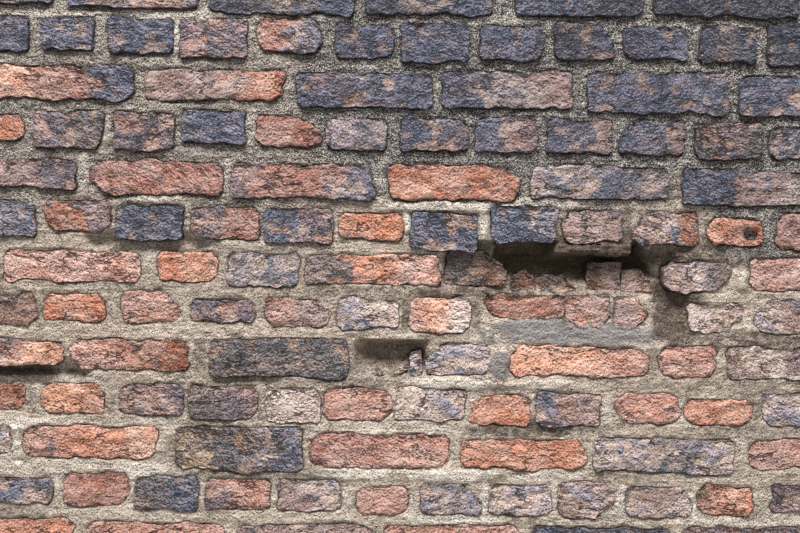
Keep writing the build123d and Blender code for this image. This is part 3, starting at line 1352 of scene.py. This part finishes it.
# %% Node group: broken face
def crisp_noise(tree, vector, per_metre, detail=3.0, rough=0.6):
    """Noise stretched to use the whole range from 0 to 1."""
    return stretch(tree, noise_at(tree, vector, per_metre, detail, rough), 0.3, 0.7)


def weighed(tree, base, *parts):
    """A base value plus values, each counted from its middle, times its weight."""
    total = base
    for value, middle, weight in parts:
        share = times(tree, less(tree, value, middle), weight)
        total = sums(tree, "ADD", share, total)
    return total


broken, broken_in, broken_out = new_group(
    "broken_face",
    [
        ("Vector", "NodeSocketVector", None),
        ("Marks per metre", "NodeSocketFloat", 80.0),
        ("Roughness", "NodeSocketFloat", 0.7),
    ],
    [("Height", "NodeSocketFloat"), ("Shelter", "NodeSocketFloat")],
)
readings = []
for offset in (-1 * mm, 1 * mm):
    sockets = {0: broken_in.outputs["Vector"], 1: (0, 0, offset)}
    moved = put(broken, "ShaderNodeVectorMath", sockets, operation="ADD")
    sockets = {
        "Vector": moved.outputs[0],
        "Scale": broken_in.outputs["Marks per metre"],
        "Roughness": broken_in.outputs["Roughness"],
        "Detail": 4.0,
    }
    readings.append(put(broken, "ShaderNodeTexNoise", sockets).outputs[0])
below, above = readings
middle_height = times(broken, sums(broken, "ADD", below, above), 0.5)
slope = less(broken, above, below)
broken.links.new(stretch(broken, middle_height, 0.3, 0.7), broken_out.inputs["Height"])
broken.links.new(stretch(broken, slope, -0.14, 0.14), broken_out.inputs["Shelter"])
print("group", broken.name, "has", len(broken.nodes), "nodes")

# %% [markdown]
# Painted shade darkens the pits and undersides, and a painted highlight lightens the peaks.  This
# group takes a colour, a height and how far the surface faces down, each from 0 to 1.  It gives the
# colour back lighter where it is high and faces up, darker where it is low and faces down.

# %% Node group: painted shade and highlight
painted_light, painted_light_in, painted_light_out = new_group(
    "painted_light",
    [
        ("Colour", "NodeSocketColor", None),
        ("Height", "NodeSocketFloat", 0.5),
        ("Shelter", "NodeSocketFloat", 0.5),
        ("Strength", "NodeSocketFloat", 1.0),
        ("Pit", "NodeSocketColor", (0.02, 0.015, 0.014, 1)),
        ("Peak", "NodeSocketColor", (0.82, 0.76, 0.7, 1)),
    ],
    [("Colour", "NodeSocketColor")],
)
openness = weighed(
    painted_light,
    0.0,
    (painted_light_in.outputs["Height"], 0.5, 0.7),
    (painted_light_in.outputs["Shelter"], 0.5, -0.7),
)
openness = times(painted_light, openness, painted_light_in.outputs["Strength"])
openness = sums(painted_light, "ADD", openness, 0.5)
brightness = stretch(painted_light, openness, 0.0, 0.66, 0.18, 1.3)
channels = {channel: brightness for channel in range(3)}
grey = put(painted_light, "ShaderNodeCombineColor", channels).outputs[0]
toned = tinted(painted_light, painted_light_in.outputs["Colour"], grey)
pit_shade_share = stretch(painted_light, openness, 0.24, 0.0, 0.0, 0.75)
peak_highlight_share = stretch(painted_light, openness, 0.66, 1.05, 0.0, 0.4)
toned = blend(painted_light, pit_shade_share, toned, painted_light_in.outputs["Pit"])
toned = blend(painted_light, peak_highlight_share, toned, painted_light_in.outputs["Peak"])
painted_light.links.new(toned, painted_light_out.inputs["Colour"])
print("group", painted_light.name, "has", len(painted_light.nodes), "nodes")

# %% [markdown]
# Fine cracks run through both materials, mostly level with the beds.  The line where a noise
# crosses its middle value is a thin, wandering curve, and a second noise breaks it into lengths.

# %% Node group: cracks
flattened = (0.55, 0.55, 1.5)
cracks, cracks_in, cracks_out = new_group(
    "cracks",
    [
        ("Vector", "NodeSocketVector", None),
        ("Lines per metre", "NodeSocketFloat", 40.0),
        ("Width", "NodeSocketFloat", 0.022),
    ],
    [("Crack", "NodeSocketFloat")],
)
sockets = {"Vector": cracks_in.outputs["Vector"], "Scale": flattened}
lying = put(cracks, "ShaderNodeMapping", sockets)
line = noise_at(cracks, lying.outputs[0], cracks_in.outputs["Lines per metre"], 4, 0.65)
off_line = sums(cracks, "ABSOLUTE", less(cracks, line, 0.5), 0.0)
thin = stretch(cracks, off_line, cracks_in.outputs["Width"], 0.003)
breaks = times(cracks, cracks_in.outputs["Lines per metre"], 1.1)
lengths = stretch(cracks, noise_at(cracks, cracks_in.outputs["Vector"], breaks, 2, 0.5), 0.46, 0.56)
cracks.links.new(times(cracks, thin, lengths), cracks_out.inputs["Crack"])
print("group", cracks.name, "has", len(cracks.nodes), "nodes")

# %% [markdown]
# The brick material starts from the stored colours.  A finer noise breaks up the edge between skin
# and clay, because flakes are smaller than the mesh.  Clay is mottled between pale and burnt, skin
# between blue-grey and rust.  The marks of the broken face lie nearly level, but each brick's are
# tilted a little by its own stored number, because it was pressed and broken by itself.

# %% Material: weathered brick, its patterns
def stored(tree, name):
    """What the wear stored on the vertices under a name."""
    return put(tree, "ShaderNodeAttribute", attribute_name=name).outputs


tree, shader = empty_tree(brick_material)
place = put(tree, "ShaderNodeTexCoord").outputs["Object"]
clay, skin = (stored(tree, name)["Color"] for name in STORED_COLOURS)
cover, relief, rim, deep, layered, crevice = (stored(tree, name)["Fac"] for name in STORED_NUMBERS)
tilt = put(tree, "ShaderNodeCombineXYZ", {"Y": times(tree, less(tree, layered, 0.5), 0.7)})
sockets = {"Vector": place, "Rotation": tilt.outputs[0], "Scale": (1.4, 1.4, 0.85)}
flat_lying = put(tree, "ShaderNodeMapping", sockets, vector_type="TEXTURE").outputs[0]
sockets = {"Vector": place, "Rotation": tilt.outputs[0], "Scale": (1.1, 1.1, 0.92)}
nearly_even = put(tree, "ShaderNodeMapping", sockets, vector_type="TEXTURE").outputs[0]
rock = use(tree, broken, {"Vector": flat_lying, "Marks per metre": 62.0, "Roughness": 0.78})
crumbs = use(tree, broken, {"Vector": nearly_even, "Marks per metre": 340.0, "Roughness": 0.75})
sand = use(tree, grit, {"Vector": place, "Grains per metre": 480.0})
dirt = use(tree, grime, {"Vector": place})
lines = use(tree, cracks, {"Vector": place, "Lines per metre": 30.0})
splits = use(tree, cracks, {"Vector": place, "Lines per metre": 13.0, "Width": 0.017})
short = use(tree, cracks, {"Vector": flat_lying, "Lines per metre": 70.0, "Width": 0.05})
broad = crisp_noise(tree, place, 30, 3, 0.6)
middling = crisp_noise(tree, place, 95, 4, 0.65)
fine = crisp_noise(tree, place, 260, 2, 0.6)
ragged = weighed(tree, cover, (middling, 0.5, 0.45), (fine, 0.5, 0.25))
has_skin = stretch(tree, ragged, 0.25, 0.75)
print("patterns of the brick:", len(tree.nodes), "nodes")

# %% Material: weathered brick, clay and skin
dusky = tinted(tree, clay, (0.56, 0.5, 0.6))
warm = tinted(tree, clay, (1.04, 0.9, 0.78))
pale = blend(tree, 0.38, clay, linear(216, 190, 178))
mottled = blend(tree, broad, warm, pale)
mottled = blend(tree, stretch(tree, middling, 0.3, 0.0, 0.0, 0.4), mottled, dusky)
burnt_rim = times(tree, rim, stretch(tree, broad, 0.7, 0.3, 0.0, 0.5))
mottled = blend(tree, burnt_rim, mottled, dusky)
rusty = blend(tree, 0.35, skin, linear(158, 124, 108))
blue = tinted(tree, skin, (0.7, 0.74, 0.81))
brownish = tinted(tree, skin, (1.4, 1.22, 1.14))
drift = weighed(tree, broad, (middling, 0.5, 0.4))
skinned = blend(tree, stretch(tree, drift, 0.3, 0.7), blue, brownish)
skinned = blend(tree, stretch(tree, middling, 0.62, 1.0, 0.0, 0.8), skinned, rusty)
surface = blend(tree, has_skin, mottled, skinned)
# Deep in the hollow a brick is painted darker and browner, as brown dirt and painted shade
surface = blend(tree, times(tree, deep, 0.45), surface, linear(112, 94, 80))
print("with its colours:", len(tree.nodes), "nodes")

# %% [markdown]
# The same noises and cracks go into the bump and into the painted shade, so what looks like a pit
# is a pit.
# Burnt skin is glassy and cracks into short pieces, while clay crumbles.  A painted highlight, pale
# as stone dust, lies on the peaks of the clay and a cooler one on those of the skin.

# %% Material: weathered brick, painted shade and highlight, soot and bump
layers_show = stretch(tree, layered, 0.0, 1.0, 0.6, 1.3)
height = weighed(
    tree,
    0.5,
    (rock.outputs["Height"], 0.5, times(tree, layers_show, 0.18)),
    (crumbs.outputs["Height"], 0.5, 0.65),
    (relief, 0.6, 0.36),
    (sand.outputs["Tone"], 0.25, 0.75),
)
height = less(tree, height, times(tree, lines.outputs["Crack"], 0.5))
height = less(tree, height, times(tree, splits.outputs["Crack"], 0.9))
short_crack = times(tree, short.outputs["Crack"], stretch(tree, has_skin, 0.0, 1.0, 0.15, 0.6))
height = less(tree, height, short_crack)
facing_down = weighed(
    tree,
    0.5,
    (rock.outputs["Shelter"], 0.5, times(tree, layers_show, 0.6)),
    (crumbs.outputs["Shelter"], 0.5, 0.8),
)
# Painted shade and highlight are stronger on dark skin than on pale skin, and than on clay
clay_strength = 0.92
skin_strength = stretch(tree, skin, 0.1, 0.35, 1.9, 1.0)
strength = weighed(tree, clay_strength, (has_skin, 0.0, less(tree, skin_strength, clay_strength)))
# Colours for the painted highlight on the peaks and the painted shade in the pits
peak_highlight_colour = blend(tree, has_skin, linear(232, 212, 198), linear(172, 169, 174))
pit_shade_colour = tinted(tree, surface, (0.18, 0.15, 0.15))
sockets = {"Colour": surface, "Height": height, "Shelter": facing_down, "Strength": strength}
surface = use(tree, painted_light, sockets | {"Pit": pit_shade_colour, "Peak": peak_highlight_colour}).outputs["Colour"]
sooty = tinted(tree, surface, (0.72, 0.72, 0.76))
surface = blend(tree, dirt.outputs["Soot"], surface, sooty)
# Painted shade on the sides behind a brick's face and in its hole, and a darker top on a t brick
surface = blend(tree, times(tree, crevice, 0.7), surface, linear(72, 61, 54))
tree.links.new(surface, shader.inputs["Base Color"])
tree.links.new(stretch(tree, ragged, 0.3, 0.8, 0.92, 0.7), shader.inputs["Roughness"])
bumpy = weighed(
    tree,
    0.5,
    (rock.outputs["Height"], 0.5, 0.8),
    (crumbs.outputs["Height"], 0.5, 0.25),
    (sand.outputs["Height"], 0.25, 0.12),
    (has_skin, 0.5, 0.15),
)
bumpy = less(tree, bumpy, times(tree, lines.outputs["Crack"], 0.25))
bumpy = less(tree, bumpy, times(tree, splits.outputs["Crack"], 0.6))
bump = put(tree, "ShaderNodeBump", {"Strength": 1.0, "Distance": 6 * mm, "Height": bumpy})
tree.links.new(bump.outputs[0], shader.inputs["Normal"])
print("brick material has", len(tree.nodes), "nodes")

# %% [markdown]
# The mortar is lime and sharp sand.  Its grains are large enough to see one by one, pale and black
# on a ground that turns from warm sand low down to sooty grey above.  Where fresh lime has
# run or smooth mortar was smeared, the stored `lime` value turns it whiter or greyer.

# %% Material: lime mortar, its patterns
tree, shader = empty_tree(mortar_material)
place = put(tree, "ShaderNodeTexCoord").outputs["Object"]
lime, relief, gap, deep, shade = (stored(tree, name)["Fac"] for name in MORTAR_LAYERS)
coarse = use(tree, grit, {"Vector": place, "Grains per metre": 280.0})
small = use(tree, grit, {"Vector": place, "Grains per metre": 560.0})
dirt = use(tree, grime, {"Vector": place})
lines = use(tree, cracks, {"Vector": place, "Lines per metre": 46.0})
sockets = {"Vector": place, "Scale": (0.75, 0.75, 1.2)}
flat_lying = put(tree, "ShaderNodeMapping", sockets).outputs[0]
rock = use(tree, broken, {"Vector": flat_lying, "Marks per metre": 90.0, "Roughness": 0.75})
crumbs = use(tree, broken, {"Vector": place, "Marks per metre": 440.0, "Roughness": 0.7})
broad = crisp_noise(tree, place, 12, 4, 0.6)
middling = crisp_noise(tree, place, 75, 4, 0.65)
fine = crisp_noise(tree, place, 300, 2, 0.6)
print("patterns of the mortar:", len(tree.nodes), "nodes")

# %% Material: lime mortar, its ground
whiteness = weighed(tree, lime, (middling, 0.5, 0.5), (fine, 0.5, 0.2))
smeared = stretch(tree, lime, -0.2, -0.7)
grain_shows = stretch(tree, smeared, 0.0, 1.0, 1.0, 0.3)
ground = blend(tree, broad, linear(175, 157, 140), linear(206, 190, 174))
ground = blend(tree, stretch(tree, middling, 0.5, 1.0, 0.0, 0.6), ground, linear(158, 142, 128))
ground = blend(tree, stretch(tree, whiteness, 0.3, 0.8, 0.0, 0.85), ground, linear(224, 212, 198))
ground = blend(tree, smeared, ground, linear(138, 131, 128))
# Stains and painted shadows darken the ground by the stored shade
stain_and_shade_ground = tinted(tree, ground, (0.22, 0.19, 0.17))
black_ground = tinted(tree, ground, (0.24, 0.26, 0.31))
ragged_shade = times(tree, shade, stretch(tree, middling, 0.0, 1.0, 0.75, 1.2))
ground = blend(tree, sums(tree, "MINIMUM", ragged_shade, 1.0), ground, stain_and_shade_ground)
soot = times(tree, dirt.outputs["Soot"], stretch(tree, lime, 0.0, 1.0, 1.0, 0.2))
ground = blend(tree, soot, ground, black_ground)
# Deep in the hollow the mortar is painted browner and darker, as brown dirt and painted shade
brown_dirt_and_shade = times(tree, deep, stretch(tree, middling, 0.0, 1.0, 1.0, 0.75))
ground = blend(tree, brown_dirt_and_shade, ground, linear(118, 101, 78))
print("with its ground:", len(tree.nodes), "nodes")

# %% [markdown]
# On that ground lie the pale grains, more of them where soot makes the rest dark, and light specks
# where soot has crumbled off.  A dark line of painted shade runs beside each brick, in the groove
# where the mortar has shrunk from it.  It comes from the stored distance to the brick, broken up by
# noise so that it comes and goes.  Pits and undersides get painted shade and peaks a painted
# highlight, as on the bricks.

# %% Material: lime mortar, grains, soot, painted shade and painted highlight
gap = weighed(tree, gap, (fine, 0.5, 1.6), (middling, 0.5, 1.8))
shade_beside_brick = stretch(tree, sums(tree, "ABSOLUTE", gap, 0.0), 1.7, 0.5, 0.0, 1.0)
shade_beside_brick = times(tree, shade_beside_brick, stretch(tree, middling, 0.3, 0.6, 0.2, 0.85))
soot_and_shade_here = sums(tree, "MAXIMUM", dirt.outputs["Soot"], shade)
large_grain = stretch(tree, coarse.outputs["Tone"], 0.62, 0.8)
small_grain = stretch(tree, small.outputs["Tone"], 0.55, 0.8)
pale_grain = sums(tree, "ADD", large_grain, small_grain)
pale_grain = times(tree, pale_grain, less(tree, 1.0, deep))
pale_grain = times(tree, pale_grain, stretch(tree, shade, 0.5, 1.3, 1.0, 0.3))
pale_grain = times(tree, pale_grain, stretch(tree, middling, 0.75, 0.35, 0.1, 0.5))
pale_grain = times(tree, pale_grain, stretch(tree, soot, 0.0, 1.0, 1.0, 1.8))
ground = blend(tree, times(tree, pale_grain, grain_shows), ground, linear(214, 202, 186))
speckle = stretch(tree, crumbs.outputs["Height"], 0.55, 0.85)
speckle = times(tree, speckle, stretch(tree, broad, 0.2, 0.7, 0.35, 0.95))
speckle = times(tree, speckle, dirt.outputs["Soot"])
speckle = times(tree, speckle, less(tree, 1.0, deep))
ground = blend(tree, speckle, ground, linear(186, 176, 164))
height = weighed(
    tree,
    0.5,
    (relief, 0.55, 0.45),
    (rock.outputs["Height"], 0.5, times(tree, grain_shows, 0.25)),
    (crumbs.outputs["Height"], 0.5, times(tree, grain_shows, 0.9)),
    (coarse.outputs["Tone"], 0.25, times(tree, grain_shows, 0.25)),
    (small.outputs["Tone"], 0.25, times(tree, grain_shows, 1.0)),
)
height = less(tree, height, times(tree, lines.outputs["Crack"], 0.5))
facing_down = weighed(
    tree,
    0.5,
    (rock.outputs["Shelter"], 0.5, 0.45),
    (crumbs.outputs["Shelter"], 0.5, 1.0),
)
# The painted highlight on the peaks is pale sand, greyer where soot, stains and painted shadow lie,
# and the painted shade and highlight grow stronger with the soot
pale_sand_highlight = blend(tree, soot_and_shade_here, linear(222, 209, 192), linear(140, 133, 126))
pale_sand_highlight = blend(tree, dirt.outputs["Soot"], pale_sand_highlight, linear(204, 196, 186))
strength = stretch(tree, dirt.outputs["Soot"], 0.0, 1.0, 0.66, 2.2)
sockets = {"Colour": ground, "Height": height, "Shelter": facing_down, "Strength": strength}
toned = use(tree, painted_light, sockets | {"Peak": pale_sand_highlight})
surface = blend(tree, shade_beside_brick, toned.outputs["Colour"], linear(52, 44, 40))
tree.links.new(surface, shader.inputs["Base Color"])
tree.links.new(stretch(tree, middling, 0.3, 0.7, 0.98, 0.88), shader.inputs["Roughness"])
bumpy = weighed(
    tree,
    0.5,
    (rock.outputs["Height"], 0.5, 0.7),
    (crumbs.outputs["Height"], 0.5, 0.2),
    (coarse.outputs["Height"], 0.25, 0.2),
    (small.outputs["Height"], 0.25, 0.2),
)
bump = put(tree, "ShaderNodeBump", {"Strength": 1.0, "Distance": 5.5 * mm, "Height": bumpy})
tree.links.new(bump.outputs[0], shader.inputs["Normal"])
print("mortar material has", len(tree.nodes), "nodes")

# %% [markdown]
# ## Camera, light and floor
#
# The camera looks straight at the front, rolled by less than a degree, from so far away that the
# picture is 1.312 m wide at the wall.  The frame is filled by the middle of the front, so the ends
# and the top show only in other views.

# %% Camera
seen_width = 1.312
camera_height = 0.576
camera_data = bpy.data.cameras.new("camera")
camera_data.lens = 50
camera = bpy.data.objects.new("camera", camera_data)
bpy.context.collection.objects.link(camera)
distance = seen_width * camera_data.lens / camera_data.sensor_width
roll = math.radians(-0.79)
camera.location = (0, wall_low.y - distance, camera_height)
camera.rotation_euler = (math.radians(90), roll, 0)
bpy.context.scene.camera = camera
print("camera stands", round(distance, 3), "m from the wall")

# %% [markdown]
# A wide lamp above and in front is the cloudy sky, which puts a soft shadow under each brick and
# leaves the hollow dark.  A weaker one does the same for the back, and an even, slightly blue world
# fills in.  The lamps are no stronger than it takes for a colour to come out as it was written.

# %% Light
def area_light(name, place, aim, size, power):
    """A soft rectangular lamp at a place, turned towards a point."""
    data = bpy.data.lights.new(name, "AREA")
    data.shape = "RECTANGLE"
    data.size, data.size_y = size
    data.energy = power
    lamp = bpy.data.objects.new(name, data)
    bpy.context.collection.objects.link(lamp)
    lamp.location = place
    lamp.rotation_euler = (Vector(aim) - Vector(place)).to_track_quat("-Z", "Y").to_euler()
    return lamp


area_light("sky_lamp", (-0.4, -2.3, 4.1), (0, -0.3, 0.5), (3, 1.4), 380)
area_light("back_lamp", (0.8, 2.6, 3.2), (0, 0.3, 0.5), (3, 1.4), 150)
world = bpy.data.worlds.new("studio")
bpy.context.scene.world = world
world.use_nodes = True
background = world.node_tree.nodes["Background"]
background.inputs["Color"].default_value = (0.9, 0.95, 1, 1)
background.inputs["Strength"].default_value = 0.35
print("lamps:", [lamp.name for lamp in bpy.data.lights])

# %% Floor
floor_half_width = 8
bm = bmesh.new()
bmesh.ops.create_grid(bm, x_segments=1, y_segments=1, size=floor_half_width)
floor_mesh = bpy.data.meshes.new("floor")
bm.to_mesh(floor_mesh)
bm.free()
floor = bpy.data.objects.new("floor", floor_mesh)
bpy.context.collection.objects.link(floor)
floor_material = bpy.data.materials.new("pale_floor")
tree, shader = empty_tree(floor_material)
shader.inputs["Base Color"].default_value = (0.38, 0.38, 0.37, 1)
shader.inputs["Roughness"].default_value = 0.9
floor_mesh.materials.append(floor_material)
bpy.context.scene.view_settings.view_transform = "Standard"
print("the floor is", 2 * floor_half_width, "m wide")
